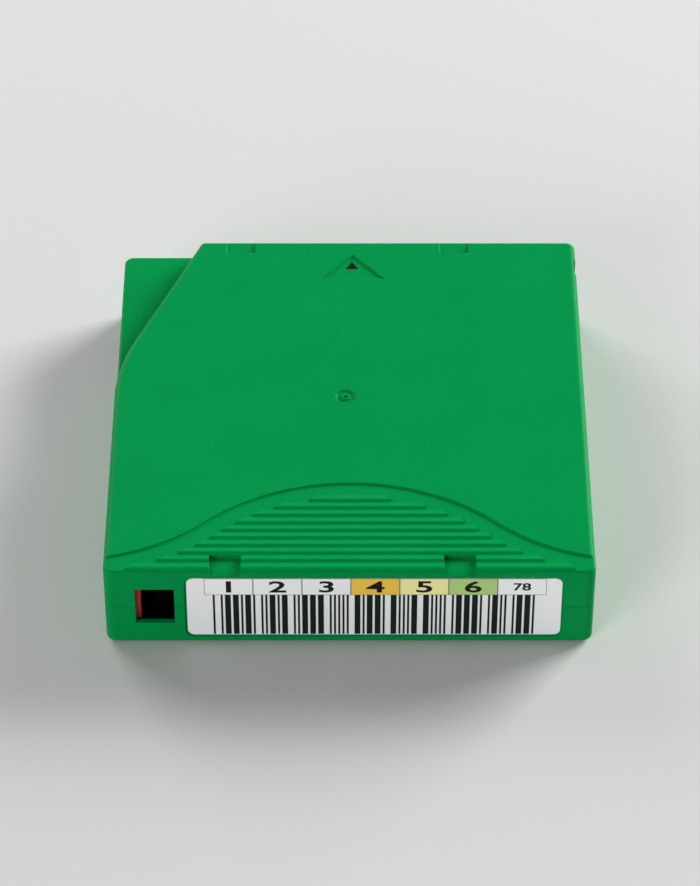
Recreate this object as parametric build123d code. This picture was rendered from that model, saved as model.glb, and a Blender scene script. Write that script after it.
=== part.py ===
from build123d import *
import math
import os

# Case outside, in millimetres
width = 102.0
length = 105.4
height = 21.5
seam_z = 11.0
corner_radius = 2.0
top_edge_radius = 1.4
bottom_edge_radius = 1.5
seam_chamfer = 0.2
recess_chamfer = 0.2

# Case walls
wall = 1.5
roof = 1.4
floor = 1.2
rib = 1.0
tongue_width = 0.6
tongue_height = 0.8
tongue_gap = 0.05

# Reel axis, and the lowered corner whose edge runs round it, from the left face and the top
reel_x = -0.8
reel_y = 0.5
reel_gap = 1.3
notch_gap = 2.9
notch_back = 17.5
notch_drop = 4.9
notch_roof = 0.8
notch_wall = 1.2
notch_corner_radius = 1.2
notch_edge_radius = 0.5

# Wave step and grip ridges on the top, from the front face
wave_x = 0.3
wave_front = 26.3
wave_crest_radius = 45.5
wave_side_radius = 42.0
wave_turn = 42.2
wave_depth = 0.35
ridge_band = 4.0
ridge_count = 10
ridge_pitch = 2.23
ridge_inset = 4.9
ridge_fall = 0.65

# Handling notches, each from the faces it is nearest to
hand_notch_width = 6.6
front_notch_left = 21.9
front_notch_right = 24.8
front_notch_length = 5.0
front_notch_drop = 1.25
front_notch_lip = 1.5
front_notch_fall = 0.3
under_notch_depth = 0.6
back_notch_left = 23.2
back_notch_right = 24.05
back_notch_length = 4.2
back_notch_drop = 0.5
side_notch_back = 6.0
side_notch_length = 5.2
side_notch_depth = 0.5
side_notch_slope = 0.6

# Arrow recess, from the back face, and gate mark on the top
arrow_x = 0.75
arrow_back = 5.0
arrow_length = 8.25
arrow_half = 7.15
arrow_rise = 0.9
arrow_depth = 0.35
gate_radius = 1.9
gate_pin_radius = 0.9
gate_dimple_radius = 0.4
gate_depth = 0.3

# Label in its recess in the front face, from the case's faces
label_left = 17.2
label_right = 6.9
label_low = 2.5
label_top = 2.4
label_radius = 1.5
label_margin = 0.4
label_recess = 0.35
label_thickness = 0.15

# Write-protect window, from the left face and the underside, and slider
window_left = 6.5
window_width = 8.1
window_low_z = 6.2
window_height = 9.8
slider_gap = 0.2
slider_stop_gap = 0.5
slider_wall = 1.2
slider_depth = 4.4
slider_travel = 6.6
slider_bump = 0.5
slider_bar_height = 2.0

# Tape opening in the left wall, from the back face, and its door
opening_back = 5.2
opening_length = 21.5
opening_lip = 0.8
door_thickness = 1.0
door_gap = 0.2
door_end_gap = 0.3
door_overlap = 1.3
door_travel = 17.0
door_grip_depth = 1.3
door_grip_width = 1.8
door_grip_inset = 0.3
tail_height = 6.0
rail_width = 0.8
rail_height = 1.1
rail_length = 9.0
rail_inset = 2.0

# Door spring, a coil that lies along the left wall, and its stop behind the slider
door_coil_radius = 1.1
door_wire_radius = 0.2
door_coil_turns = 7
door_coil_z = 9.0
door_coil_closed = 7.0
door_stop_front = 11.2

# Reel
flange_edge = 0.9
lower_flange_z = 1.5
flange_thickness = 0.9
upper_flange_drop = 0.6
drum_radius = 22.0
drum_bore_radius = 19.6
seat_radius = 18.2
seat_width = 2.2
seat_height = 0.2
web_z = 2.9
web_thickness = 1.5
web_bore_radius = 6.0
flange_rim_width = 1.4
tape_gap = 0.1

# Drive teeth under the hub, brake teeth inside it
tooth_count = 36
drive_tooth_inner = 13.9
drive_tooth_outer = 17.0
drive_tooth_z = 1.4
drive_tooth_height = 1.1
brake_tooth_inner = 16.7
brake_tooth_outer = 18.8
brake_tooth_height = 1.1
tooth_root = 1.7
tooth_tip = 0.5
plate_outer_radius = 13.3
plate_thickness = 0.9
drive_opening_radius = 17.6

# Release pad, brake button, its key and its coil spring
leg_count = 3
leg_inner = 14.0
leg_outer = 15.8
leg_width = 3.4
leg_gap = 0.3
leg_low_z = 2.0
pad_radius = 8.5
pad_arm_width = 4.2
pad_thickness = 1.1
pad_gap = 0.15
brake_radius = 19.1
brake_thickness = 1.2
brake_tooth_gap = 0.2
brake_lift = 1.8
socket_radius = 6.5
socket_height = 6.5
socket_floor = 0.9
key_length = 9.0
key_width = 2.2
key_gap = 0.2
key_end_gap = 0.6
coil_radius = 8.6
wire_radius = 0.4
coil_turns = 4
wire_sides = 4
coil_ring_radius = 9.8
coil_ring_height = 1.8

# Leader pin, from the left face and the opening's front edge, its clips and the film's free end
pin_left = 7.0
pin_inset = 10.5
pin_radius = 1.1
pin_head_radius = 1.7
pin_head_height = 0.55
pin_end_gap = 0.15
clamp_wall = 0.5
clamp_inset = 0.575
clamp_slot = 0.5
clip_thickness = 0.35
clip_height = 0.5
clip_opening = 110.0
clip_gap = 0.05
cradle_gap = 0.35
cradle_wall = 0.8
cradle_height = 0.65
film_thickness = 0.15
film_gap = 0.3

# Case screws from below, each in a pair of bosses, from the faces near them
screw_side = 5.0
screw_end = 6.7
window_screw_side = 9.5
window_screw_end = 13.2
notch_screw_side = 4.5
notch_screw_end = 4.9
screw_radius = 0.95
screw_head_radius = 1.9
screw_head_height = 1.3
screw_sink = 0.4
screw_tip_drop = 3.6
screw_slot_length = 2.3
screw_slot_width = 0.5
screw_slot_depth = 0.7
head_hole_radius = 2.3
clearance_radius = 1.15
lower_boss_radius = 3.2
upper_boss_radius = 2.3

# Ribs that stand round the reel, and locating pockets in the underside
reel_rib_gap = 1.0
reel_rib_spans = [(207.0, 252.0), (290.0, 345.0), (15.0, 62.0)]
pocket_radius = 2.2
pocket_depth = 3.0
pocket_wall = 1.1
pocket_slot = 2.0
pocket_round_right = 26.7
pocket_round_back = 5.5
pocket_long_left = 20.5
pocket_long_front = 6.7

# Memory board, which leans at 45 degrees in the back right corner
board_right = 10.0
board_back = 7.4
board_width = 12.0
board_length = 9.0
board_thickness = 0.8
toe_gap = 0.8
toe_height = 1.5
chip_size = 4.0
chip_thickness = 0.8

# How far cuts run past a face, and how far a rib or a tooth reaches into what carries it
past = 1.0
bite = 0.25
tooth_bite = 0.1

# Case faces, inner faces and the lowered corner
left_x = -width / 2
right_x = width / 2
front_y = -length / 2
back_y = length / 2
left_inner_x = left_x + wall
front_inner_y = front_y + wall
back_inner_y = back_y - wall
inner_roof_z = height - roof
notch_z = height - notch_drop
inner_notch_z = notch_z - notch_roof
notch_back_x = left_x + notch_back

# Places on the top and the front face
wave_apex_y = front_y + wave_front
wave_centre_y = wave_apex_y - wave_crest_radius
ridge_first_y = wave_apex_y - ridge_inset
ridge_rise = ridge_pitch - ridge_fall
arrow_apex_y = back_y - arrow_back
arrow_tip_y = arrow_apex_y - arrow_length
label_width = width - label_left - label_right
label_height = height - label_low - label_top
label_x = left_x + label_left + label_width / 2
label_z = label_low + label_height / 2
window_left_x = left_x + window_left
window_right_x = window_left_x + window_width
window_high_z = window_low_z + window_height
slider_right_x = window_right_x - slider_stop_gap - slider_travel

# Reel and tape, which fill the room that the case leaves them
flange_radius = min(width / 2 - abs(reel_x), length / 2 - abs(reel_y)) - wall - reel_gap
notch_radius = flange_radius + notch_gap
tape_radius = flange_radius - flange_edge
flange_top_z = lower_flange_z + flange_thickness
upper_flange_z = inner_notch_z - upper_flange_drop
reel_top_z = upper_flange_z + flange_thickness
tape_z = flange_top_z + tape_gap
tape_width = upper_flange_z - tape_gap - tape_z
web_top_z = web_z + web_thickness
brake_root_z = web_top_z + brake_tooth_height + brake_tooth_gap
brake_low_z = max(brake_root_z, web_top_z + 2 * pad_gap + pad_thickness)
brake_top_z = brake_low_z + brake_thickness

# Tape opening, door, door spring and leader pin
opening_y = back_y - opening_back - opening_length
door_outer_x = left_inner_x + door_gap
door_inner_x = door_outer_x + door_thickness
door_low_z = floor + door_end_gap
door_high_z = inner_notch_z - door_end_gap
door_front_y = opening_y - door_overlap
door_back_y = opening_y + opening_length + door_overlap
door_coil_outer = door_coil_radius + door_wire_radius
door_stop_y = front_inner_y + door_stop_front
tail_end_y = door_stop_y + door_coil_closed + door_travel
rail_back_y = opening_y - rail_inset
pin_x = left_x + pin_left
pin_y = opening_y + pin_inset
clamp_height = tape_width - 2 * clamp_inset

# Screws, pockets and memory board
screw_places = [
    (left_x + window_screw_side, front_y + window_screw_end),
    (right_x - screw_side, front_y + screw_end),
    (right_x - screw_side, back_y - screw_end),
    (notch_back_x + notch_screw_side, back_y - notch_screw_end),
]
screw_shoulder_z = screw_sink + screw_head_height
screw_end_z = inner_roof_z - screw_tip_drop
pocket_round = (right_x - pocket_round_right, back_y - pocket_round_back)
pocket_long = (left_x + pocket_long_left, front_y + pocket_long_front)
board_x = right_x - board_right - board_width
board_foot_y = back_inner_y - board_back


def block(x0, x1, y0, y1, z0, z1):
    """Box between two corners"""
    corner = (Align.MIN, Align.MIN, Align.MIN)
    return Pos(x0, y0, z0) * Box(x1 - x0, y1 - y0, z1 - z0, align=corner)


def disc(radius, z0, z1, x=reel_x, y=reel_y):
    """Upright cylinder, on the reel axis unless placed elsewhere"""
    foot = (Align.CENTER, Align.CENTER, Align.MIN)
    return Pos(x, y, z0) * Cylinder(radius, z1 - z0, align=foot)


def ring(inner, outer, z0, z1, x=reel_x, y=reel_y):
    """Upright tube between two radii"""
    return disc(outer, z0, z1, x, y) - disc(inner, z0, z1, x, y)


def slab(face, z0, z1):
    """Plan face raised from one height to another"""
    return Pos(0, 0, z0) * extrude(face, z1 - z0)


def arc_wall(inner, outer, z0, z1, start, end, x=reel_x, y=reel_y):
    """Curved wall round an upright axis, from one angle to another"""
    section = Plane.XZ * Pos((inner + outer) / 2, (z0 + z1) / 2) * Rectangle(outer - inner, z1 - z0)
    return Pos(x, y, 0) * Rot(0, 0, start) * revolve(section, Axis.Z, end - start)


def sunk(outline, depth):
    """Recess of a given outline in the top, whose walls slope at their foot"""
    cutter = slab(outline, height - depth, height + past)
    return chamfer(cutter.faces().sort_by(Axis.Z)[0].edges(), recess_chamfer)


def front_panel(x, z, panel_width, panel_height, radius, y0, y1):
    """Panel with round corners that stands parallel to the front face"""
    sketch = Plane.XZ.offset(-y1) * Pos(x, z) * RectangleRounded(panel_width, panel_height, radius)
    return extrude(sketch, y1 - y0)


def case_outline(inset=0.0):
    """Plan of the case, moved in from its outer faces"""
    return RectangleRounded(width - 2 * inset, length - 2 * inset, max(corner_radius - inset, 0.4))


def notch_plan(grow=0.0):
    """Plan of the lowered corner; grow moves its edge towards the reel axis"""
    across = notch_back_x - reel_x
    along = back_y - reel_y
    turn = math.atan2(along, across) + math.acos(notch_radius / math.hypot(across, along))
    radius = notch_radius - grow
    touch = (reel_x + radius * math.cos(turn), reel_y + radius * math.sin(turn))
    far = (touch[0] + length * math.sin(turn), touch[1] - length * math.cos(turn))
    arc = CenterArc((reel_x, reel_y), radius, math.degrees(turn), 180 - math.degrees(turn))
    edges = [
        arc,
        Line((reel_x - radius, reel_y), (-width, reel_y)),
        Line((-width, reel_y), (-width, far[1])),
        Line((-width, far[1]), far),
        Line(far, touch),
    ]
    return make_face(edges)


def wave_hub(hand):
    """Centre of the wave's outer arc on one side"""
    turn = math.radians(wave_turn)
    reach = wave_crest_radius + wave_side_radius
    return wave_x + hand * reach * math.sin(turn), wave_centre_y + reach * math.cos(turn)


def wave_plan():
    """Plan of the lowered front of the top, behind which the wave step runs"""
    end_x = width / 2 + past
    cut_y = front_y - past
    edges = [CenterArc((wave_x, wave_centre_y), wave_crest_radius, 90 - wave_turn, 2 * wave_turn)]
    for hand in (-1, 1):
        hub = wave_hub(hand)
        lean = math.degrees(math.asin((hand * end_x - hub[0]) / wave_side_radius))
        start = 270 - hand * wave_turn
        end = 270 + lean
        edges.append(CenterArc(hub, wave_side_radius, min(start, end), abs(end - start)))
        foot = (hand * end_x, hub[1] - wave_side_radius * math.cos(math.radians(lean)))
        edges.append(Line(foot, (hand * end_x, cut_y)))
    edges.append(Line((-end_x, cut_y), (end_x, cut_y)))
    return make_face(edges)


def wave_edge(y, hand):
    """X at which the wave line, moved in by the band in front of it, crosses a given Y"""
    crest = wave_crest_radius - ridge_band
    if y > wave_centre_y + crest * math.cos(math.radians(wave_turn)):
        return wave_x + hand * math.sqrt(max(0, crest ** 2 - (y - wave_centre_y) ** 2))
    hub = wave_hub(hand)
    side = wave_side_radius + ridge_band
    return hub[0] - hand * math.sqrt(max(0, side ** 2 - (y - hub[1]) ** 2))


def ridge(crest_y, left, right, last):
    """Ridge with a long slope at the back and a short one in front, its ends cut at 45 degrees"""
    low = height - wave_depth
    slope_y = crest_y + ridge_rise
    foot_y = front_y - past if last else crest_y - ridge_fall
    turn_in = 0 if last else ridge_fall
    profile = [(slope_y, low), (crest_y, height)]
    if last:
        profile.append((foot_y, height))
    profile.append((foot_y, low))
    prism = Pos(left, 0, 0) * extrude(Plane.YZ * make_face(Polyline(*profile, close=True)), right - left)
    ends = make_face(Polyline(
        (left, crest_y), (left + ridge_rise, slope_y), (right - ridge_rise, slope_y), (right, crest_y),
        (right - turn_in, foot_y), (left + turn_in, foot_y), close=True))
    return prism & slab(ends, low, height)


def ridges():
    """Grip ridges in front of the wave, each as wide as the band along the wave leaves it"""
    made = []
    for index in range(ridge_count):
        crest_y = ridge_first_y - index * ridge_pitch
        left = wave_edge(crest_y, -1)
        right = wave_edge(crest_y, 1)
        if right - left > 3 * ridge_rise:
            made.append(ridge(crest_y, left, right, index == ridge_count - 1))
    return made


def wave_and_ridges():
    """What is cut from the top: the lowered front, less the ridges that stand in it"""
    return sunk(wave_plan(), wave_depth) - ridges()


def notch_starts(left, right):
    """Left edges of a pair of handling notches, set in from the left and right faces"""
    return left_x + left, right_x - right - hand_notch_width


def front_notch(x):
    """Notch in the front edge of the top, whose floor falls away at the front face"""
    low = height - front_notch_drop
    pocket = block(x, x + hand_notch_width, front_y - past, front_y + front_notch_length, low, height + past)
    steepness = front_notch_fall / front_notch_lip
    slope = make_face(Polyline(
        (front_y + front_notch_lip, low), (front_y - past, low),
        (front_y - past, low - steepness * (front_notch_lip + past)), close=True))
    return pocket + Pos(x, 0, 0) * extrude(Plane.YZ * slope, hand_notch_width)


def back_notch(x):
    """Shallow notch in the back edge of the top"""
    middle = (x + hand_notch_width / 2, back_y + (past - back_notch_length) / 2)
    return sunk(Pos(*middle) * Rectangle(hand_notch_width, back_notch_length + past), back_notch_drop)


def arrow_cut():
    """Arrow recess that points to the back: two straight sides and a bowed foot"""
    left_tip = (arrow_x - arrow_half, arrow_tip_y)
    right_tip = (arrow_x + arrow_half, arrow_tip_y)
    outline = make_face([
        Line(left_tip, (arrow_x, arrow_apex_y)),
        Line((arrow_x, arrow_apex_y), right_tip),
        ThreePointArc(right_tip, (arrow_x, arrow_tip_y + arrow_rise), left_tip),
    ])
    return sunk(outline, arrow_depth)


def side_notch():
    """Upright notch in the right side of the upper half, with sloping ends"""
    end_y = back_y - side_notch_back
    start_y = end_y - side_notch_length
    outline = make_face(Polyline(
        (right_x + past, start_y - side_notch_slope), (right_x, start_y),
        (right_x - side_notch_depth, start_y + side_notch_slope),
        (right_x - side_notch_depth, end_y - side_notch_slope), (right_x, end_y),
        (right_x + past, end_y + side_notch_slope), close=True))
    return slab(outline, seam_z - past, height + past)


def handling_cuts():
    """Notches in three edges of the top, and the arrow recess"""
    cuts = [arrow_cut(), side_notch()]
    cuts += [front_notch(x) for x in notch_starts(front_notch_left, front_notch_right)]
    return cuts + [back_notch(x) for x in notch_starts(back_notch_left, back_notch_right)]


def gate_cuts():
    """Ring groove with a sloping wall, and a dimple, where the moulding's gate was, over the reel axis"""
    low = height - gate_depth
    section = make_face(Polyline(
        (gate_pin_radius, low), (gate_radius, low), (gate_radius + gate_depth, height),
        (gate_radius + gate_depth, height + past), (gate_pin_radius, height + past), close=True))
    groove = Pos(reel_x, reel_y, 0) * revolve(Plane.XZ * section, Axis.Z)
    return groove + disc(gate_dimple_radius, low, height + past)


def window_cut():
    """Window to the write-protect slider, through the front wall of both halves"""
    return block(window_left_x, window_right_x, front_y - past, front_inner_y + bite,
                 window_low_z, window_high_z)


def opening_cut():
    """Tape opening through the left wall of both halves"""
    return block(left_x - past, left_inner_x + bite, opening_y, opening_y + opening_length,
                 floor + opening_lip, inner_notch_z - opening_lip)


def label_cut():
    """Shallow recess for the label, across both halves"""
    return front_panel(label_x, label_z, label_width + 2 * label_margin, label_height + 2 * label_margin,
                       label_radius + label_margin, front_y - past, front_y + label_recess)


def chamber_walls(z0, z1):
    """Right and rear walls of the slider's chamber behind the window"""
    side_x = window_right_x + slider_wall
    rear_y = front_inner_y + slider_depth + 2 * slider_gap
    walls = block(window_right_x, side_x, front_inner_y - bite, rear_y + rib, z0, z1)
    return walls + block(left_inner_x - bite, side_x, rear_y, rear_y + rib, z0, z1)


def chamber_bars(z0, z1):
    """Short ribs under or over the slider"""
    rear_y = front_inner_y + slider_depth + 2 * slider_gap
    bars = []
    for x in (left_inner_x + rib, (left_inner_x + window_right_x) / 2, window_right_x - 2 * rib):
        bars.append(block(x, x + rib, front_inner_y - bite, rear_y + bite, z0, z1))
    return bars


def reel_ribs(z0, z1):
    """Curved ribs in three corners that stand round the reel"""
    inner = flange_radius + reel_rib_gap
    return [arc_wall(inner, inner + rib, z0, z1, start, end) for start, end in reel_rib_spans]


def door_rails(z0, z1):
    """Straight ribs behind the door, clear of the reel"""
    x = door_inner_x + door_gap
    return [block(x, x + rail_width, y, y + rail_length, z0, z1)
            for y in (rail_back_y - rail_length, pin_y + 2 * pin_head_radius)]


def pin_cradle(z0, z1):
    """Low curved rib round a pin head and its clip, open to the left"""
    inner = pin_head_radius + clip_gap + clip_thickness + cradle_gap
    return arc_wall(inner, inner + cradle_wall, z0, z1, -clip_opening, clip_opening, pin_x, pin_y)


def brake_key(z0, z1, gap=0.0):
    """Cross on which the brake button slides without turning"""
    long_side = key_length + 2 * gap
    short_side = key_width + 2 * gap
    cross = Rectangle(long_side, short_side) + Rectangle(short_side, long_side)
    return Pos(reel_x, reel_y, z0) * extrude(cross, z1 - z0)


def top_shell():
    """Upper half of the case"""
    low = slab(case_outline(), seam_z, notch_z)
    low = fillet(low.faces().sort_by(Axis.Z)[-1].edges(), notch_edge_radius)
    high = slab(case_outline() - notch_plan(), seam_z, height)
    corner = high.edges().filter_by(Axis.Z).sort_by_distance((notch_back_x, back_y, seam_z))[0]
    high = fillet(corner, notch_corner_radius)
    high = fillet(high.faces().sort_by(Axis.Z)[-1].edges(), top_edge_radius)
    body = low + high
    body = chamfer(body.faces().sort_by(Axis.Z)[0].edges(), seam_chamfer)
    body -= slab(case_outline(wall), seam_z, inner_notch_z)
    body -= slab(case_outline(wall) - notch_plan(notch_wall), inner_notch_z, inner_roof_z)
    body -= [wave_and_ridges(), gate_cuts()] + handling_cuts()
    body += reel_ribs(seam_z, inner_roof_z + bite)
    body += chamber_walls(seam_z, inner_roof_z + bite)
    body += chamber_bars(window_high_z + slider_gap, inner_roof_z + bite)
    body += door_rails(inner_notch_z - rail_height, inner_notch_z + bite)
    body += pin_cradle(inner_notch_z - cradle_height, inner_notch_z + bite)
    body += brake_key(brake_top_z + socket_floor + brake_lift + key_end_gap, inner_roof_z + bite)
    body += ring(coil_ring_radius, coil_ring_radius + rib, inner_roof_z - coil_ring_height,
                 inner_roof_z + bite)
    for x, y in screw_places:
        body += disc(upper_boss_radius, seam_z, inner_roof_z + bite, x, y)
    for x, y in screw_places:
        body -= disc(screw_radius, seam_z, screw_end_z + rib, x, y)
    groove = case_outline(wall - tongue_width - tongue_gap) - case_outline(wall)
    body -= slab(groove, seam_z, seam_z + tongue_height + tongue_gap)
    return body - [window_cut(), opening_cut(), label_cut()]


def bottom_shell():
    """Lower half of the case"""
    body = slab(case_outline(), 0, seam_z)
    body = fillet(body.faces().sort_by(Axis.Z)[0].edges(), bottom_edge_radius)
    body = chamfer(body.faces().sort_by(Axis.Z)[-1].edges(), seam_chamfer)
    body -= slab(case_outline(wall), floor, seam_z)
    body += slab(case_outline(wall - tongue_width) - case_outline(wall), seam_z - bite,
                 seam_z + tongue_height)
    body -= disc(drive_opening_radius, -past, floor + past)
    body += reel_ribs(floor - bite, seam_z)
    body += chamber_walls(floor - bite, seam_z)
    body += chamber_bars(floor - bite, window_low_z - slider_gap)
    body += door_rails(floor - bite, floor + rail_height)
    body += pin_cradle(floor - bite, floor + cradle_height)
    body += door_spring_seat()
    body += memory_gussets()
    for x, y in screw_places:
        body += disc(lower_boss_radius, floor - bite, seam_z, x, y) & slab(case_outline(wall / 2), 0, seam_z)
    for x, y in screw_places:
        body -= disc(head_hole_radius, -past, screw_shoulder_z, x, y)
        body -= disc(clearance_radius, screw_shoulder_z, seam_z + past, x, y)
    body = add_pockets(body)
    for x in notch_starts(front_notch_left, front_notch_right):
        body -= block(x, x + hand_notch_width, front_y - past, front_y + front_notch_length,
                      -past, under_notch_depth)
    return body - [window_cut(), opening_cut(), label_cut()]


def add_pockets(body):
    """One round and one long locating pocket in the underside, each with its wall inside"""
    long_half = pocket_radius + pocket_slot / 2
    shapes = [
        (pocket_round, Circle(pocket_radius), Circle(pocket_radius + pocket_wall)),
        (pocket_long, SlotOverall(2 * long_half, 2 * pocket_radius),
         SlotOverall(2 * (long_half + pocket_wall), 2 * (pocket_radius + pocket_wall))),
    ]
    for (x, y), hole, outside in shapes:
        body += Pos(x, y, floor / 2) * extrude(outside, pocket_depth + pocket_wall - floor / 2)
        body -= Pos(x, y, -past) * extrude(hole, pocket_depth + past)
    return body


def door_spring_seat():
    """Stop behind the door spring, and two low ribs that carry it"""
    inner_x = door_inner_x + 2 * door_coil_outer + door_gap
    parts = [block(left_inner_x - bite, inner_x, door_stop_y - rib, door_stop_y, floor - bite, seam_z)]
    low_x = door_inner_x + door_gap
    rib_z = door_coil_z - door_coil_outer - door_gap
    middle_y = (door_stop_y + tail_end_y - door_travel) / 2
    for y in (middle_y, tail_end_y - door_travel + 3 * rib):
        parts.append(block(low_x, inner_x, y, y + rib, floor - bite, rib_z))
    return parts


def memory_gussets():
    """Two sloping ribs that carry the memory board, each with a toe below it"""
    parts = []
    for x in (board_x + rib, board_x + board_width - 2 * rib):
        slope = make_face(Polyline(
            (board_foot_y, floor), (back_inner_y + bite, floor),
            (back_inner_y + bite, floor + back_inner_y + bite - board_foot_y), close=True))
        parts.append(Pos(x, 0, 0) * extrude(Plane.YZ * slope, rib))
        toe_y = board_foot_y - toe_gap
        parts.append(block(x, x + rib, toe_y - rib, toe_y, floor - bite, floor + toe_height))
    return parts


def on_slope(shape, slide, lift):
    """Shape laid on the gussets' slope, moved up it and out from it"""
    return Pos(board_x, board_foot_y, floor) * Rot(45, 0, 0) * Pos(0, slide, lift) * shape


def memory_board():
    """Small circuit board that leans against the back wall"""
    return on_slope(block(0, board_width, 0, board_length, 0, board_thickness), 0, 0)


def memory_chip():
    """Chip on the board's upper face"""
    shape = block(0, chip_size, 0, chip_size, 0, chip_thickness)
    centre = Pos((board_width - chip_size) / 2, (board_length - chip_size) / 2, board_thickness)
    return on_slope(centre * shape, 0, 0)


def radial_tooth(inner, outer, root_z, tip_z):
    """Tooth of a face gear, wide at its root and narrow at its tip"""
    section = make_face(Polyline(
        (-tooth_root / 2, root_z), (tooth_root / 2, root_z),
        (tooth_tip / 2, tip_z), (-tooth_tip / 2, tip_z), close=True))
    return Pos(inner, 0, 0) * extrude(Plane.YZ * section, outer - inner)


def tooth_ring(inner, outer, root_z, tip_z, shift=0.0, skip=()):
    """Face gear teeth round the reel axis, without those at the skipped numbers"""
    tooth = radial_tooth(inner, outer, root_z, tip_z)
    step = 360 / tooth_count
    return [Pos(reel_x, reel_y, 0) * Rot(0, 0, (index + shift) * step) * tooth
            for index in range(tooth_count) if index not in skip]


def leg_angles():
    """Angles of the release pad's legs"""
    return [index * 360 / leg_count for index in range(leg_count)]


def teeth_at_legs():
    """Numbers of the drive teeth that give way to the legs"""
    step = tooth_count // leg_count
    return [(index * step + side) % tooth_count for index in range(leg_count) for side in (-1, 0, 1)]


def leg_shape(extra, z0, z1):
    """One leg, or with extra its slot in the web"""
    return block(leg_inner - extra, leg_outer + extra, -leg_width / 2 - extra, leg_width / 2 + extra, z0, z1)


def reel_hub():
    """Hub and lower flange, moulded in one, with drive teeth below and brake teeth inside"""
    drum = ring(drum_bore_radius, drum_radius, lower_flange_z, upper_flange_z)
    hub = drum + ring(drum_radius - past, flange_radius, lower_flange_z, flange_top_z)
    hub += ring(seat_radius, seat_radius + seat_width, lower_flange_z - seat_height, web_z + bite)
    hub += ring(web_bore_radius, drum_radius - past, web_z, web_top_z)
    hub += ring(drum_bore_radius, drum_bore_radius + flange_rim_width, upper_flange_z - bite, reel_top_z)
    root_z = drive_tooth_z + drive_tooth_height
    hub += ring(drive_tooth_inner, drive_tooth_outer, root_z, web_z + bite)
    hub += tooth_ring(drive_tooth_inner, drive_tooth_outer, root_z + tooth_bite, drive_tooth_z,
                      skip=teeth_at_legs())
    hub += tooth_ring(brake_tooth_inner, brake_tooth_outer, web_top_z - tooth_bite,
                      web_top_z + brake_tooth_height)
    slot = leg_shape(leg_gap, 0, web_top_z + past)
    return hub - [Pos(reel_x, reel_y, 0) * Rot(0, 0, angle) * slot for angle in leg_angles()]


def reel_top_flange():
    """Clear upper flange, seated on the hub's rim"""
    inner = drum_bore_radius + flange_rim_width
    return ring(inner, flange_radius, upper_flange_z, reel_top_z)


def tape_pack():
    """All the turns of tape on the hub"""
    return ring(drum_radius, tape_radius, tape_z, tape_z + tape_width)


def drive_plate():
    """Steel ring under the web, which the drive's magnet holds"""
    return ring(web_bore_radius, plate_outer_radius, web_z - plate_thickness, web_z)


def release_pad():
    """Three-legged pad that lifts the brake button when the drive pushes its legs"""
    low = web_top_z + pad_gap
    high = low + pad_thickness
    pad = disc(pad_radius, low, high)
    arm = block(0, leg_outer, -pad_arm_width / 2, pad_arm_width / 2, low, high)
    leg = leg_shape(0, leg_low_z, high)
    for angle in leg_angles():
        pad += Pos(reel_x, reel_y, 0) * Rot(0, 0, angle) * (arm + leg)
    return pad


def brake_button():
    """Toothed disc that stops the reel, with the socket for its key"""
    button = disc(brake_radius, brake_low_z, brake_top_z)
    button += disc(socket_radius, brake_top_z - bite, brake_top_z + socket_floor + socket_height)
    button += tooth_ring(brake_tooth_inner, brake_tooth_outer, brake_low_z + tooth_bite,
                         web_top_z + brake_tooth_gap, shift=0.5)
    return button - brake_key(brake_top_z + socket_floor, height, key_gap)


def coil(radius, wire, turns, coil_length):
    """Coil spring standing on the origin, its wire drawn with few sides"""
    rise = coil_length - 2 * wire
    path = Pos(0, 0, wire) * Helix(pitch=rise / turns, height=rise, radius=radius)
    section = Plane(path @ 0, z_dir=path % 0) * RegularPolygon(wire, wire_sides)
    return sweep(section, path=path, is_frenet=True)


def brake_spring():
    """Coil between the brake button and the roof"""
    return Pos(reel_x, reel_y, brake_top_z) * coil(coil_radius, wire_radius, coil_turns,
                                                   inner_roof_z - brake_top_z)


def door():
    """Sliding door, with its grip rib outside and its tail along the left wall"""
    shape = block(door_outer_x, door_inner_x, door_front_y, door_back_y, door_low_z, door_high_z)
    grip_y = opening_y + opening_length - door_grip_inset - door_grip_width
    shape += block(door_outer_x - door_grip_depth, door_outer_x + bite, grip_y, grip_y + door_grip_width,
                   floor + opening_lip + door_end_gap, inner_notch_z - opening_lip - door_end_gap)
    shape += block(door_outer_x, door_inner_x, tail_end_y, door_front_y + bite,
                   door_coil_z - tail_height / 2, door_coil_z + tail_height / 2)
    return shape + block(door_outer_x, door_inner_x + 2 * door_coil_outer, tail_end_y, tail_end_y + rib,
                         door_coil_z - door_coil_outer, door_coil_z + door_coil_outer)


def door_spring():
    """Coil that pushes the door shut"""
    x = door_inner_x + door_gap / 2 + door_coil_outer
    shape = coil(door_coil_radius, door_wire_radius, door_coil_turns, tail_end_y - door_stop_y)
    return Pos(x, door_stop_y, door_coil_z) * Rot(-90, 0, 0) * shape


def write_protect_tab():
    """Red slider, hollow behind its face, with a springy back that clicks over a bump"""
    x0 = left_inner_x + slider_gap
    y0 = front_inner_y + slider_gap
    z0 = window_low_z - slider_gap / 2
    z1 = window_high_z + slider_gap / 2
    shape = block(x0, slider_right_x, y0, y0 + slider_depth, z0, z1)
    hollow = block(x0 + slider_wall, slider_right_x + past, y0 + slider_wall, y0 + slider_depth - slider_bump,
                   z0 + slider_bar_height, z1 - slider_bar_height)
    return shape - hollow


def pin_z(low):
    """Height of the leader pin's lower or upper end"""
    return floor + pin_end_gap if low else inner_notch_z - pin_end_gap


def leader_pin():
    """Steel pin with a head at each end"""
    pin = disc(pin_radius, pin_z(True), pin_z(False), pin_x, pin_y)
    pin += disc(pin_head_radius, pin_z(True), pin_z(True) + pin_head_height, pin_x, pin_y)
    return pin + disc(pin_head_radius, pin_z(False) - pin_head_height, pin_z(False), pin_x, pin_y)


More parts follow.
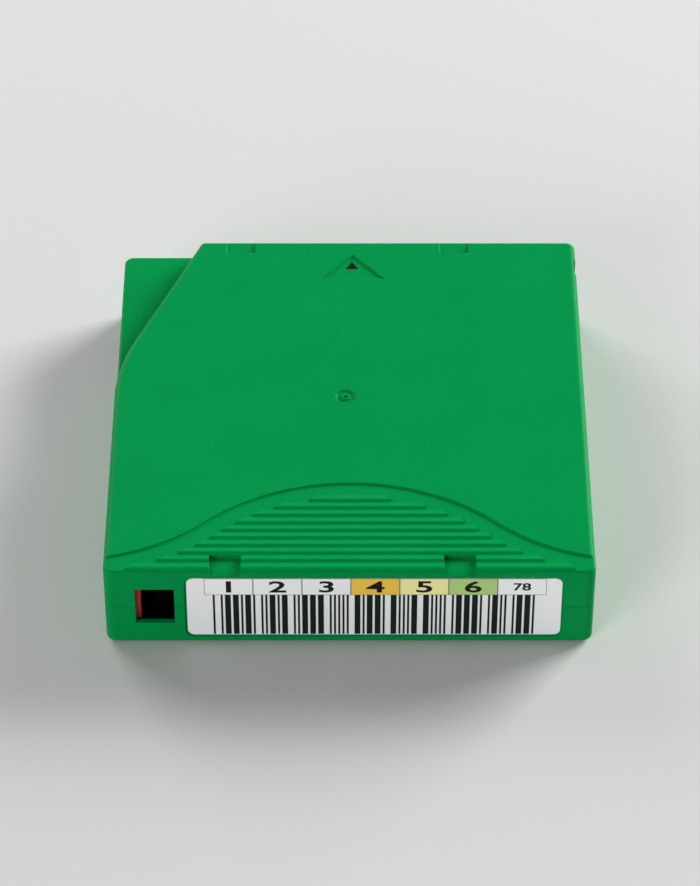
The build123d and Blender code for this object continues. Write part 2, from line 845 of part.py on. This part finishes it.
def film_line():
    """Start and end of the film's free span, from the tape pack to the pin"""
    radius = tape_radius + film_gap
    across = pin_x - reel_x
    along = pin_y - reel_y
    reach = math.hypot(across, along)
    turn = math.atan2(along, across) - math.acos(radius / reach)
    start = Vector(reel_x + radius * math.cos(turn), reel_y + radius * math.sin(turn))
    return start, Vector(pin_x, pin_y)


def leader_tape():
    """Free end of the tape, in one straight span"""
    start, end = film_line()
    way = (end - start).normalized()
    end -= way * (pin_radius + clamp_wall / 2)
    half = Vector(-way.Y, way.X) * (film_thickness / 2)
    face = make_face(Polyline(start - half, end - half, end + half, start + half, close=True))
    return slab(face, tape_z, tape_z + tape_width)


def tape_clamp():
    """Sleeve that grips the film's end on the pin, slotted where the film comes in"""
    start, end = film_line()
    facing = math.degrees(math.atan2(start.Y - end.Y, start.X - end.X))
    middle = tape_z + tape_width / 2
    half_slot = math.degrees(clamp_slot / 2 / pin_radius)
    return arc_wall(pin_radius, pin_radius + clamp_wall, middle - clamp_height / 2, middle + clamp_height / 2,
                    facing + half_slot, facing + 360 - half_slot, pin_x, pin_y)


def pin_clip(low):
    """Spring strip round one pin head, open to the left"""
    inner = pin_head_radius + clip_gap
    middle = pin_z(low) + (pin_head_height / 2 if low else -pin_head_height / 2)
    return arc_wall(inner, inner + clip_thickness, middle - clip_height / 2, middle + clip_height / 2,
                    -clip_opening, clip_opening, pin_x, pin_y)


def label():
    """Paper label in the recess of the front face"""
    y1 = front_y + label_recess
    return front_panel(label_x, label_z, label_width, label_height, label_radius, y1 - label_thickness, y1)


def case_screws():
    """Four screws that hold the halves together, each with a cross recess"""
    screws = []
    for x, y in screw_places:
        screw = disc(screw_head_radius, screw_sink, screw_shoulder_z, x, y)
        screw += disc(screw_radius, screw_shoulder_z - bite, screw_end_z, x, y)
        slot = Rectangle(screw_slot_length, screw_slot_width)
        cross = slot + Rot(0, 0, 90) * slot
        screws.append(screw - Pos(x, y, 0) * extrude(cross, screw_sink + screw_slot_depth))
    return Compound(children=screws)


pieces = {
    "top_shell": top_shell(),
    "bottom_shell": bottom_shell(),
    "label": label(),
    "case_screws": case_screws(),
    "door": door(),
    "door_spring": door_spring(),
    "write_protect_tab": write_protect_tab(),
    "reel_hub": reel_hub(),
    "reel_top_flange": reel_top_flange(),
    "drive_plate": drive_plate(),
    "tape_pack": tape_pack(),
    "leader_tape": leader_tape(),
    "tape_clamp": tape_clamp(),
    "leader_pin": leader_pin(),
    "pin_clip_lower": pin_clip(True),
    "pin_clip_upper": pin_clip(False),
    "release_pad": release_pad(),
    "brake_button": brake_button(),
    "brake_spring": brake_spring(),
    "memory_board": memory_board(),
    "memory_chip": memory_chip(),
}

os.makedirs("parts", exist_ok=True)
for name, piece in pieces.items():
    export_step(piece, f"parts/{name}.step")
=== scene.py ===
import math
import bpy
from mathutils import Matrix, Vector


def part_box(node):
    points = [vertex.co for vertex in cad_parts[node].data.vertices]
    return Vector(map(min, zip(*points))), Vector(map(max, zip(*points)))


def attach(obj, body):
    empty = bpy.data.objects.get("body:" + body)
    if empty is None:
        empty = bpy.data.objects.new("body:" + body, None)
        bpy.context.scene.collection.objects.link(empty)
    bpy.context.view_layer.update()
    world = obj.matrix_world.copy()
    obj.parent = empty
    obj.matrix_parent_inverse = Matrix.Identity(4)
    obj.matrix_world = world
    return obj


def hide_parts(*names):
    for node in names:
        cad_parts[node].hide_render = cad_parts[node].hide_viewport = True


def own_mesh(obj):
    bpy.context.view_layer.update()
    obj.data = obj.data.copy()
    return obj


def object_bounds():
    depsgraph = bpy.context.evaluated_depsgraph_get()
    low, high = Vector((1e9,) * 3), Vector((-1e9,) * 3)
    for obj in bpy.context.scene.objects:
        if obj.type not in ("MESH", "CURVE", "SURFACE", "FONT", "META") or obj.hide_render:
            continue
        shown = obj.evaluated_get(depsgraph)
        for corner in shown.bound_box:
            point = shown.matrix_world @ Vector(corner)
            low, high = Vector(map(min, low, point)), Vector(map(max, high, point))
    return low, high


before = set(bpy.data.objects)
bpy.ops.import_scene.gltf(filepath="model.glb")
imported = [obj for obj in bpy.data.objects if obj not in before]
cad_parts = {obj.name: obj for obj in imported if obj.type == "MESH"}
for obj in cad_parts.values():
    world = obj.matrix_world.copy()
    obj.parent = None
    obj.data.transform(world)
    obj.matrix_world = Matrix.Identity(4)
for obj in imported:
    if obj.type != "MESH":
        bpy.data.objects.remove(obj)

cad_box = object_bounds()

# One millimetre in scene units, and the distance under which two points are one
MM = 0.001
MERGE = 1e-7


def tint(code):
    """Linear colour of an sRGB hex value"""
    parts = [int(code[i:i + 2], 16) / 255 for i in (1, 3, 5)]
    linear = [c / 12.92 if c <= 0.04045 else ((c + 0.055) / 1.055) ** 2.4 for c in parts]
    return (*linear, 1.0)


def node(tree, kind, settings=None, inputs=None, links=None):
    """Add a shader node, set its options and sockets, and link its sockets"""
    made = tree.nodes.new(kind)
    for name, value in (settings or {}).items():
        setattr(made, name, value)
    for name, value in (inputs or {}).items():
        made.inputs[name].default_value = value
    for name, source in (links or {}).items():
        tree.links.new(source, made.inputs[name])
    return made


def start_material(name, **shader):
    """New material with its surface shader; the shader's sockets are set from the keywords"""
    material = bpy.data.materials.new(name)
    material.use_nodes = True
    tree = material.node_tree
    surface = tree.nodes["Principled BSDF"]
    for key, value in shader.items():
        surface.inputs[key.replace("_", " ")].default_value = value
    where = node(tree, "ShaderNodeTexCoord").outputs["Object"]
    return material, tree, surface, where


def noise(tree, where, grain_mm, detail=2.0, stretch=None):
    """Noise whose lumps are about grain_mm across, drawn out along an axis by stretch"""
    vector = where
    if stretch:
        vector = node(tree, "ShaderNodeMapping", inputs={"Scale": stretch},
                      links={"Vector": where}).outputs["Vector"]
    return node(tree, "ShaderNodeTexNoise", inputs={"Scale": 1 / (grain_mm * MM), "Detail": detail},
                links={"Vector": vector}).outputs["Fac"]


def spread(tree, value, low, high):
    """Map a 0 to 1 value onto a narrower span"""
    return node(tree, "ShaderNodeMapRange", inputs={"To Min": low, "To Max": high},
                links={"Value": value}).outputs["Result"]


def two_tone(tree, value, first, second):
    """Colour between two hex values"""
    return node(tree, "ShaderNodeMix", {"data_type": "RGBA"}, {6: tint(first), 7: tint(second)},
                {0: value}).outputs[2]


def relief(tree, surface, height, depth_mm, strength=1.0, edge_mm=0.0):
    """Bump of a real depth on the surface, and edges that look rounded by edge_mm"""
    bump = node(tree, "ShaderNodeBump", inputs={"Strength": strength, "Distance": depth_mm * MM},
                links={"Height": height})
    if edge_mm:
        soft_edge = node(tree, "ShaderNodeBevel", {"samples": 6}, {"Radius": edge_mm * MM})
        tree.links.new(soft_edge.outputs["Normal"], bump.inputs["Normal"])
    tree.links.new(bump.outputs["Normal"], surface.inputs["Normal"])


# How deep the case's outside reaches at its sides, underside and window, and the soft edge of the painted
# shade inside the case
SHELL_WALL = 1.0
SHELL_FLOOR = 1.1
SHELL_ROOF = 16.1
INSIDE_SHADE_STARTS = 0.1
INSIDE_SHADE_FULL = -0.3


def inside_shade_mask(tree, where):
    """Mask of painted shade: 1 on the faces inside the case, which little light reaches, 0 on its outside"""
    low, high = cad_box
    wall, floor, roof = SHELL_WALL * MM, SHELL_FLOOR * MM, SHELL_ROOF * MM
    middle = ((low[0] + high[0]) / 2, (low[1] + high[1]) / 2, (floor + roof) / 2)
    half = ((high[0] - low[0]) / 2 - wall, (high[1] - low[1]) / 2 - wall, (roof - floor) / 2)
    centred = node(tree, "ShaderNodeVectorMath", {"operation": "SUBTRACT"}, {1: middle},
                   {0: where}).outputs[0]
    folded = node(tree, "ShaderNodeVectorMath", {"operation": "ABSOLUTE"}, None, {0: centred}).outputs[0]
    past = node(tree, "ShaderNodeVectorMath", {"operation": "SUBTRACT"}, {1: half}, {0: folded}).outputs[0]
    parts = node(tree, "ShaderNodeSeparateXYZ", links={"Vector": past}).outputs
    across = node(tree, "ShaderNodeMath", {"operation": "MAXIMUM"}, None,
                  {0: parts[0], 1: parts[1]}).outputs[0]
    depth = node(tree, "ShaderNodeMath", {"operation": "MAXIMUM"}, None, {0: across, 1: parts[2]}).outputs[0]
    return node(tree, "ShaderNodeMapRange", inputs={"From Min": INSIDE_SHADE_STARTS * MM, "From Max": INSIDE_SHADE_FULL * MM},
                links={"Value": depth}).outputs["Result"]


# The case's grain, really near 0.1 mm and drawn coarser, so that it shows, and its softened edges
CASE_CLOUD = 18.0
CASE_GRAIN = 0.28
CASE_GRAIN_DEPTH = 0.03
CASE_EDGE = 0.3


def moulded_case_plastic():
    """Polycarbonate, moulded in a spark-eroded tool: even colour, satin, a very fine grain; painted shade
    darkens the grain's hollows and the faces inside the case
    """
    material, tree, surface, where = start_material("moulded_green_polycarbonate", IOR=1.58,
                                                    Specular_IOR_Level=0.02)
    cloud = noise(tree, where, CASE_CLOUD, 3.0)
    grain = noise(tree, where, CASE_GRAIN, 3.0)
    # Painted shade: the hollows of the grain are drawn darker in the colour, as they catch less light than
    # its tops
    pit_shade = node(tree, "ShaderNodeMapRange", inputs={"From Min": 0.35, "From Max": 0.65},
                links={"Value": grain}).outputs["Result"]
    cloud_and_pit_shade = node(tree, "ShaderNodeMix", {"data_type": "FLOAT"}, {0: 0.5}, {2: cloud, 3: pit_shade}).outputs[0]
    colour = two_tone(tree, cloud_and_pit_shade, "#018541", "#049A4F")
    # Painted shade: the faces inside the case are drawn near black, as little light reaches them
    inside = inside_shade_mask(tree, where)
    colour_with_inside_shade = node(tree, "ShaderNodeMix", {"data_type": "RGBA"}, {7: tint("#010C06")}, {0: inside, 6: colour})
    tree.links.new(colour_with_inside_shade.outputs[2], surface.inputs["Base Color"])
    tree.links.new(spread(tree, grain, 0.30, 0.40), surface.inputs["Roughness"])
    relief(tree, surface, grain, CASE_GRAIN_DEPTH, 0.7, CASE_EDGE)
    return material


def moulded_plastic(name, dark, light, rough, grain_mm=0.3, depth_mm=0.015):
    """Other moulded pieces: plain colour with a slight cloud and a fine grain"""
    material, tree, surface, where = start_material(name, IOR=1.5)
    cloud = noise(tree, where, 6.0, 3.0)
    grain = noise(tree, where, grain_mm, 2.0)
    tree.links.new(two_tone(tree, cloud, dark, light), surface.inputs["Base Color"])
    tree.links.new(spread(tree, grain, rough - 0.05, rough + 0.05), surface.inputs["Roughness"])
    relief(tree, surface, grain, depth_mm, 0.4)
    return material


def clear_flange_plastic():
    """Clear polycarbonate disc: see-through, with a slight haze"""
    material, tree, surface, where = start_material("clear_polycarbonate", IOR=1.58)
    surface.inputs["Transmission Weight"].default_value = 0.9
    haze = noise(tree, where, 2.0, 2.0)
    tree.links.new(two_tone(tree, haze, "#E6ECEA", "#F2F6F4"), surface.inputs["Base Color"])
    tree.links.new(spread(tree, haze, 0.08, 0.16), surface.inputs["Roughness"])
    return material


def coated_label_paper():
    """Coated label stock: white, smooth, a soft sheen with the paper's fibre just felt"""
    material, tree, surface, where = start_material("coated_label_paper", IOR=1.5)
    fibre = noise(tree, where, 0.35, 4.0, (1.0, 1.0, 2.2))
    tree.links.new(two_tone(tree, fibre, "#F4F6F8", "#FBFCFD"), surface.inputs["Base Color"])
    tree.links.new(spread(tree, fibre, 0.30, 0.42), surface.inputs["Roughness"])
    relief(tree, surface, fibre, 0.008, 0.3)
    return material


def print_ink(name, code, faded, rough=0.38):
    """Printed ink on the label or the case: thin, with slightly uneven cover"""
    material, tree, surface, where = start_material(name, IOR=1.5, Specular_IOR_Level=0.2)
    cover = noise(tree, where, 0.5, 4.0)
    tree.links.new(two_tone(tree, cover, code, faded), surface.inputs["Base Color"])
    tree.links.new(spread(tree, cover, rough - 0.05, rough + 0.07), surface.inputs["Roughness"])
    return material


def worked_steel(name, dark, light, rough, stretch, line_mm=0.25):
    """Steel with fine lines from how it was worked: drawn, turned or rolled"""
    material, tree, surface, where = start_material(name, Metallic=1.0)
    lines = noise(tree, where, line_mm, 3.0, stretch)
    tree.links.new(two_tone(tree, lines, dark, light), surface.inputs["Base Color"])
    tree.links.new(spread(tree, lines, rough - 0.06, rough + 0.08), surface.inputs["Roughness"])
    relief(tree, surface, lines, 0.01, 0.4)
    return material


# The real turns of tape are 6 micrometres thick and are drawn this far apart, so that they show
TURN_SPACING = 0.3
WEAVE_SPACING = 0.5
# Waves to one unit of a wave texture's scale
WAVES_PER_SCALE = 20


def ringed_film(centre):
    """Wound tape: dark coated film whose turns show as rings and as lines on its edge"""
    material, tree, surface, where = start_material("wound_coated_film", IOR=1.5)
    spot = node(tree, "ShaderNodeMapping", {"vector_type": "POINT"},
                {"Location": (-centre[0], -centre[1], 0.0)}, {"Vector": where}).outputs["Vector"]
    rings = node(tree, "ShaderNodeTexWave", {"wave_type": "RINGS", "rings_direction": "Z"},
                 {"Scale": 1 / (TURN_SPACING * MM) / WAVES_PER_SCALE, "Distortion": 0.4, "Detail": 2.0},
                 {"Vector": spot}).outputs["Fac"]
    tree.links.new(two_tone(tree, rings, "#15110F", "#2A231F"), surface.inputs["Base Color"])
    tree.links.new(spread(tree, rings, 0.22, 0.36), surface.inputs["Roughness"])
    relief(tree, surface, rings, 0.01, 0.5)
    return material


def flat_film():
    """One layer of coated film: dark, smooth and glossy"""
    material, tree, surface, where = start_material("single_coated_film", IOR=1.5)
    streak = noise(tree, where, 0.8, 2.0, (0.1, 0.1, 2.0))
    tree.links.new(two_tone(tree, streak, "#1A1513", "#231C18"), surface.inputs["Base Color"])
    tree.links.new(spread(tree, streak, 0.16, 0.24), surface.inputs["Roughness"])
    return material


def board_laminate():
    """Epoxy laminate board: green, with the glass weave just under the lacquer"""
    material, tree, surface, where = start_material("epoxy_laminate", IOR=1.52)
    weave = node(tree, "ShaderNodeTexWave",
                 inputs={"Scale": 1 / (WEAVE_SPACING * MM) / WAVES_PER_SCALE, "Distortion": 0.2},
                 links={"Vector": where}).outputs["Fac"]
    tree.links.new(two_tone(tree, weave, "#1B4B2E", "#235C39"), surface.inputs["Base Color"])
    tree.links.new(spread(tree, weave, 0.3, 0.4), surface.inputs["Roughness"])
    relief(tree, surface, weave, 0.01, 0.3)
    return material


def dress(name, material):
    """Give a CAD piece its material"""
    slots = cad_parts[name].data.materials
    if slots:
        slots[0] = material
    else:
        slots.append(material)


def dress_frame():
    """Materials of all the CAD pieces"""
    reel_low, reel_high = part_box("tape_pack")
    reel_centre = ((reel_low[0] + reel_high[0]) / 2, (reel_low[1] + reel_high[1]) / 2)
    case = moulded_case_plastic()
    steel_wire = worked_steel("drawn_spring_steel", "#8E9092", "#B4B6B8", 0.3, (1.0, 1.0, 1.0))
    film = ringed_film(reel_centre)
    finishes = {
        "top_shell": case,
        "bottom_shell": case,
        "label": coated_label_paper(),
        "case_screws": worked_steel("plated_screw_steel", "#6E7072", "#94979A", 0.34, (1.0, 1.0, 0.2)),
        "door": moulded_plastic("moulded_grey_acetal", "#2A2D2E", "#343838", 0.45),
        "door_spring": steel_wire,
        "brake_spring": steel_wire,
        "pin_clip_lower": steel_wire,
        "pin_clip_upper": steel_wire,
        "write_protect_tab": moulded_plastic("moulded_red_acetal", "#E6302E", "#EE3A36", 0.4),
        "reel_hub": moulded_plastic("moulded_white_filled_plastic", "#DAD9D3", "#E6E5E0", 0.42),
        "reel_top_flange": clear_flange_plastic(),
        "drive_plate": worked_steel("stamped_plate_steel", "#9A9DA0", "#C3C6C8", 0.28, (0.3, 1.0, 1.0)),
        "tape_pack": film,
        "leader_tape": flat_film(),
        "tape_clamp": moulded_plastic("moulded_dark_clamp_plastic", "#2C2E30", "#383B3D", 0.4),
        "leader_pin": worked_steel("turned_pin_steel", "#A2A5A8", "#CDD0D2", 0.2, (0.2, 0.2, 1.0)),
        "release_pad": moulded_plastic("moulded_natural_acetal", "#E4E2DA", "#EFEDE6", 0.38),
        "brake_button": moulded_plastic("moulded_grey_brake_plastic", "#A9ACAC", "#B8BBBB", 0.42),
        "memory_board": board_laminate(),
        "memory_chip": moulded_plastic("moulded_black_epoxy", "#101214", "#181A1C", 0.5),
    }
    for name, material in finishes.items():
        dress(name, material)


def deselect():
    """Leave nothing selected"""
    if bpy.context.object and bpy.context.object.mode != "OBJECT":
        bpy.ops.object.mode_set(mode="OBJECT")
    bpy.ops.object.select_all(action="DESELECT")


def settle(piece, name, material, body="case"):
    """Name a finished piece, apply its place to its mesh, and let it ride on its body"""
    deselect()
    piece.select_set(True)
    bpy.context.view_layer.objects.active = piece
    bpy.ops.object.transform_apply(location=True, rotation=True, scale=True)
    piece.name = name
    piece.data.name = name
    if material:
        piece.data.materials.clear()
        piece.data.materials.append(material)
    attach(piece, body)
    return piece


def plate(low, high):
    """Flat box between two corners, given in metres"""
    deselect()
    middle = [(a + b) / 2 for a, b in zip(low, high)]
    bpy.ops.mesh.primitive_cube_add(size=1, location=middle)
    piece = bpy.context.object
    piece.scale = [b - a for a, b in zip(low, high)]
    bpy.ops.object.transform_apply(location=True, rotation=True, scale=True)
    return piece


def join(pieces):
    """Join several objects into the first"""
    deselect()
    for piece in pieces:
        piece.select_set(True)
    bpy.context.view_layer.objects.active = pieces[0]
    bpy.ops.object.join()
    return pieces[0]


# Label layout, in millimetres from the label's left and top edges
CELL_COUNT = 7
CELL_LEFT = 3.68
CELL_WIDTH = 10.14
CELL_HEIGHT = 4.8
CELL_LINE = 0.12
BARS_LEFT = 5.4
BARS_WIDTH = 66.9
BARS_FOOT = 0.15
INK = 0.02
DIGIT_HEIGHT = 3.3
SMALL_DIGIT_HEIGHT = 2.2
# How wide the figures are drawn against the font's own, and how bold, as a share of their height
DIGIT_WIDTH = 1.7
SMALL_DIGIT_WIDTH = 1.3
DIGIT_BOLD = 0.02

# Edges and face of the label, in metres
LABEL_LEFT, LABEL_FRONT, LABEL_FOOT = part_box("label")[0]
LABEL_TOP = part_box("label")[1][2]


def label_cells(outline):
    """Row of cells along the label's top, each a field of colour in a thin grey outline"""
    white = print_ink("white_cell_print", "#F8F9FA", "#FDFDFE", 0.34)
    fills = [white, white, white,
             print_ink("orange_cell_print", "#F8C844", "#FACF56", 0.34),
             print_ink("yellow_cell_print", "#FCF3A2", "#FDF6B2", 0.34),
             print_ink("green_cell_print", "#B2D47C", "#BADB8A", 0.34),
             white]
    names = ["first", "second", "third", "fourth", "fifth", "sixth", "last"]
    for index in range(CELL_COUNT):
        x = LABEL_LEFT + (CELL_LEFT + index * CELL_WIDTH) * MM
        low = (x, LABEL_FRONT - INK * MM / 2, LABEL_TOP - CELL_HEIGHT * MM)
        high = (x + CELL_WIDTH * MM, LABEL_FRONT + INK * MM, LABEL_TOP)
        cell = plate(low, high)
        bpy.ops.object.mode_set(mode="EDIT")
        bpy.ops.mesh.select_mode(type="FACE")
        bpy.ops.mesh.select_all(action="DESELECT")
        bpy.ops.object.mode_set(mode="OBJECT")
        for face in cell.data.polygons:
            face.select = face.normal.y < -0.9
        bpy.ops.object.mode_set(mode="EDIT")
        bpy.ops.mesh.inset(thickness=CELL_LINE * MM)
        bpy.ops.object.mode_set(mode="OBJECT")
        cell.data.materials.append(outline)
        cell.data.materials.append(fills[index])
        for face in cell.data.polygons:
            face.material_index = 1 if face.select else 0
        settle(cell, f"label_cell_{names[index]}", None)


# Wide and narrow elements of the figures and of the start and stop mark, bars and spaces in turn
BAR_PATTERNS = {
    "*": "nwnnwnwnn", "1": "wnnwnnnnw", "2": "nnwwnnnnw", "3": "wnwwnnnnn", "4": "nnnwwnnnw",
    "5": "wnnwwnnnn", "6": "nnwwwnnnn", "7": "nnnwnnwnw", "8": "wnnwnnwnn",
}
BAR_FIGURES = "*12345678*"
WIDE_BAR = 2.75
WIDE_ELEMENTS = 3
NARROW_ELEMENTS = 6


def label_bars(ink):
    """Upright bars that stand for the figures above them"""
    per_figure = WIDE_ELEMENTS * WIDE_BAR + NARROW_ELEMENTS + 1
    unit = BARS_WIDTH / (len(BAR_FIGURES) * per_figure - 1)
    x = BARS_LEFT
    bars = []
    for figure in BAR_FIGURES:
        for index, size in enumerate(BAR_PATTERNS[figure]):
            wide = unit * (WIDE_BAR if size == "w" else 1)
            if index % 2 == 0:
                low = (LABEL_LEFT + x * MM, LABEL_FRONT - INK * MM, LABEL_FOOT + BARS_FOOT * MM)
                high = (LABEL_LEFT + (x + wide) * MM, LABEL_FRONT + INK * MM, LABEL_TOP - CELL_HEIGHT * MM)
                bars.append(plate(low, high))
            x += wide
        x += unit
    settle(join(bars), "label_bars", ink)


def digit(text, x, z, tall_mm, wide):
    """Bold printed figures, centred on a point of the label's face"""
    deselect()
    bpy.ops.object.text_add(location=(0, 0, 0))
    piece = bpy.context.object
    piece.data.body = text
    piece.data.align_x = "CENTER"
    piece.data.align_y = "CENTER"
    piece.data.size = 1.0
    piece.data.offset = DIGIT_BOLD
    piece.data.extrude = 0.01
    piece.data.resolution_u = 6
    bpy.ops.object.convert(target="MESH")
    piece = bpy.context.object
    corners = [v.co for v in piece.data.vertices]
    tall = max(c.y for c in corners) - min(c.y for c in corners)
    middle_x = (max(c.x for c in corners) + min(c.x for c in corners)) / 2
    middle_y = (max(c.y for c in corners) + min(c.y for c in corners)) / 2
    scale = tall_mm * MM / tall
    for vertex in piece.data.vertices:
        px = (vertex.co.x - middle_x) * scale * wide
        pz = (vertex.co.y - middle_y) * scale
        py = -INK * MM * (2 if vertex.co.z > 0 else 0)
        vertex.co = Vector((x + px, LABEL_FRONT + py, z + pz))
    bpy.ops.object.mode_set(mode="EDIT")
    bpy.ops.mesh.select_all(action="SELECT")
    bpy.ops.mesh.remove_doubles(threshold=MERGE)
    bpy.ops.mesh.normals_make_consistent(inside=False)
    bpy.ops.object.mode_set(mode="OBJECT")
    return piece


def label_figures(ink):
    """One large figure in each of six cells and two small ones in the last"""
    figures = []
    for index, text in enumerate(["1", "2", "3", "4", "5", "6"]):
        x = LABEL_LEFT + (CELL_LEFT + (index + 0.5) * CELL_WIDTH) * MM
        figures.append(digit(text, x, LABEL_TOP - CELL_HEIGHT / 2 * MM, DIGIT_HEIGHT, DIGIT_WIDTH))
    x = LABEL_LEFT + (CELL_LEFT + (CELL_COUNT - 0.5) * CELL_WIDTH) * MM
    figures.append(digit("78", x, LABEL_TOP - CELL_HEIGHT / 2 * MM, SMALL_DIGIT_HEIGHT,
                         SMALL_DIGIT_WIDTH))
    settle(join(figures), "label_figures", ink)


# Printed arrow in the recess on the top, in millimetres
ARROW_APEX = (0.57, 45.7)
ARROW_BASE_Y = 43.2
ARROW_HALF = 1.45
ARROW_RECESS = 0.35


def printed_arrow(ink):
    """Small black triangle that points to the end that enters a drive"""
    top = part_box("top_shell")[1][2] - ARROW_RECESS * MM
    deselect()
    bpy.ops.mesh.primitive_cylinder_add(vertices=3, radius=1, depth=2 * INK * MM, location=(0, 0, top))
    piece = bpy.context.object
    tips = [(ARROW_APEX[0], ARROW_APEX[1]), (ARROW_APEX[0] - ARROW_HALF, ARROW_BASE_Y),
            (ARROW_APEX[0] + ARROW_HALF, ARROW_BASE_Y)]
    for vertex in piece.data.vertices:
        tip = tips[0] if abs(vertex.co.x) < 0.1 and vertex.co.y > 0 else tips[1 if vertex.co.x < 0 else 2]
        vertex.co.x = tip[0] * MM
        vertex.co.y = tip[1] * MM
    bpy.ops.object.mode_set(mode="EDIT")
    bpy.ops.mesh.select_all(action="SELECT")
    bpy.ops.mesh.normals_make_consistent(inside=False)
    bpy.ops.object.mode_set(mode="OBJECT")
    settle(piece, "printed_arrow", ink)


# Mean radius, wire radius and turns of each coil, in millimetres
BRAKE_COIL = (8.6, 0.4, 4)
DOOR_COIL = (1.1, 0.2, 7)
# Sides of a coil's wire, steps in a turn, and the angle shaded smooth
WIRE_SIDES = 12
TURN_STEPS = 36
SMOOTH_ANGLE = 40


def coil_spring(stands_for, coil, along, fixed_end):
    """Spring of round wire in the place of a CAD coil"""
    radius, wire, turns = coil
    low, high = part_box(stands_for)
    length = high[along] - low[along]
    deselect()
    bpy.ops.mesh.primitive_circle_add(vertices=WIRE_SIDES, radius=wire * MM, rotation=(math.pi / 2, 0, 0),
                                      location=(radius * MM, 0, wire * MM))
    piece = bpy.context.object
    bpy.ops.object.transform_apply(location=True, rotation=True, scale=True)
    winding = piece.modifiers.new("winding", "SCREW")
    winding.angle = 2 * math.pi
    winding.iterations = turns
    winding.screw_offset = (length - 2 * wire * MM) / turns
    winding.steps = TURN_STEPS
    winding.render_steps = TURN_STEPS
    bpy.ops.object.modifier_apply(modifier=winding.name)
    bpy.ops.object.mode_set(mode="EDIT")
    bpy.ops.mesh.select_all(action="SELECT")
    bpy.ops.mesh.remove_doubles(threshold=MERGE)
    bpy.ops.mesh.fill_holes(sides=0)
    bpy.ops.mesh.select_all(action="SELECT")
    bpy.ops.mesh.normals_make_consistent(inside=False)
    bpy.ops.object.mode_set(mode="OBJECT")
    bpy.ops.object.shade_smooth_by_angle(angle=math.radians(SMOOTH_ANGLE))
    foot = [(a + b) / 2 for a, b in zip(low, high)]
    foot[along] = low[along]
    piece.location = foot
    piece.rotation_euler = (-math.pi / 2 if along == 1 else 0, 0, 0)
    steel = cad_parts[stands_for].data.materials[0]
    settle(piece, stands_for + "_coil", steel)
    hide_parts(stands_for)
    anchor = list(foot)
    anchor[along] = fixed_end(low[along], high[along])
    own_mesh(piece)


# Floor, in metres, and each light's name, place, power in watts and size
FLOOR_SIZE = 6
FLOOR_DROP = 0.0001
SKY = 0.24
LIGHTS = [
    ("right_key", (1.40, 1.05, 0.70), 54.0, 1.0),
    ("left_key", (-1.05, 1.35, 0.78), 17.0, 1.0),
    ("fill", (-0.90, -1.20, 0.55), 11.5, 0.7),
]


def studio():
    """Pale floor and soft lights"""
    deselect()
    bpy.ops.mesh.primitive_plane_add(size=FLOOR_SIZE, location=(0, 0, -FLOOR_DROP))
    floor = bpy.context.object
    floor.name = "floor"
    material, tree, surface, where = start_material("pale_floor", Roughness=0.6)
    surface.inputs["Base Color"].default_value = tint("#D4D4D2")
    floor.data.materials.append(material)
    world = bpy.data.worlds.new("studio")
    world.use_nodes = True
    world.node_tree.nodes["Background"].inputs["Color"].default_value = tint("#F2F4F6")
    world.node_tree.nodes["Background"].inputs["Strength"].default_value = SKY
    bpy.context.scene.world = world
    for name, place, power, size in LIGHTS:
        data = bpy.data.lights.new(name, "AREA")
        data.energy = power
        data.size = size
        lamp = bpy.data.objects.new(name, data)
        bpy.context.scene.collection.objects.link(lamp)
        lamp.location = place
        lamp.rotation_euler = (-Vector(place)).to_track_quat("-Z", "Y").to_euler()


# Camera, from a fit to the case's corners in the photograph: millimetres, degrees and pixels
CAMERA_PLACE = (0.12, -592.0, 566.2)
CAMERA_PITCH = 43.31
FOCAL_PIXELS = 3717
IMAGE_HEIGHT = 886
SENSOR = 36.0


def set_camera():
    """Camera at the photograph's viewing angle"""
    data = bpy.data.cameras.new("camera")
    data.sensor_width = SENSOR
    data.lens = FOCAL_PIXELS / IMAGE_HEIGHT * SENSOR
    data.clip_start = 0.01
    camera = bpy.data.objects.new("camera", data)
    bpy.context.scene.collection.objects.link(camera)
    camera.location = Vector(CAMERA_PLACE) * MM
    camera.rotation_euler = (math.radians(90 - CAMERA_PITCH), 0, 0)
    bpy.context.scene.camera = camera


dress_frame()
cell_line_ink = print_ink("grey_line_ink", "#6F7678", "#7C8385")
bar_ink = print_ink("dark_bar_ink", "#06180F", "#0B2418", 0.3)
black_ink = print_ink("black_ink", "#0A0C0B", "#121514")
label_cells(cell_line_ink)
label_bars(bar_ink)
label_figures(black_ink)
printed_arrow(black_ink)
coil_spring("brake_spring", BRAKE_COIL, 2, max)
coil_spring("door_spring", DOOR_COIL, 1, min)
studio()
set_camera()
bpy.context.scene.view_settings.view_transform = "Standard"
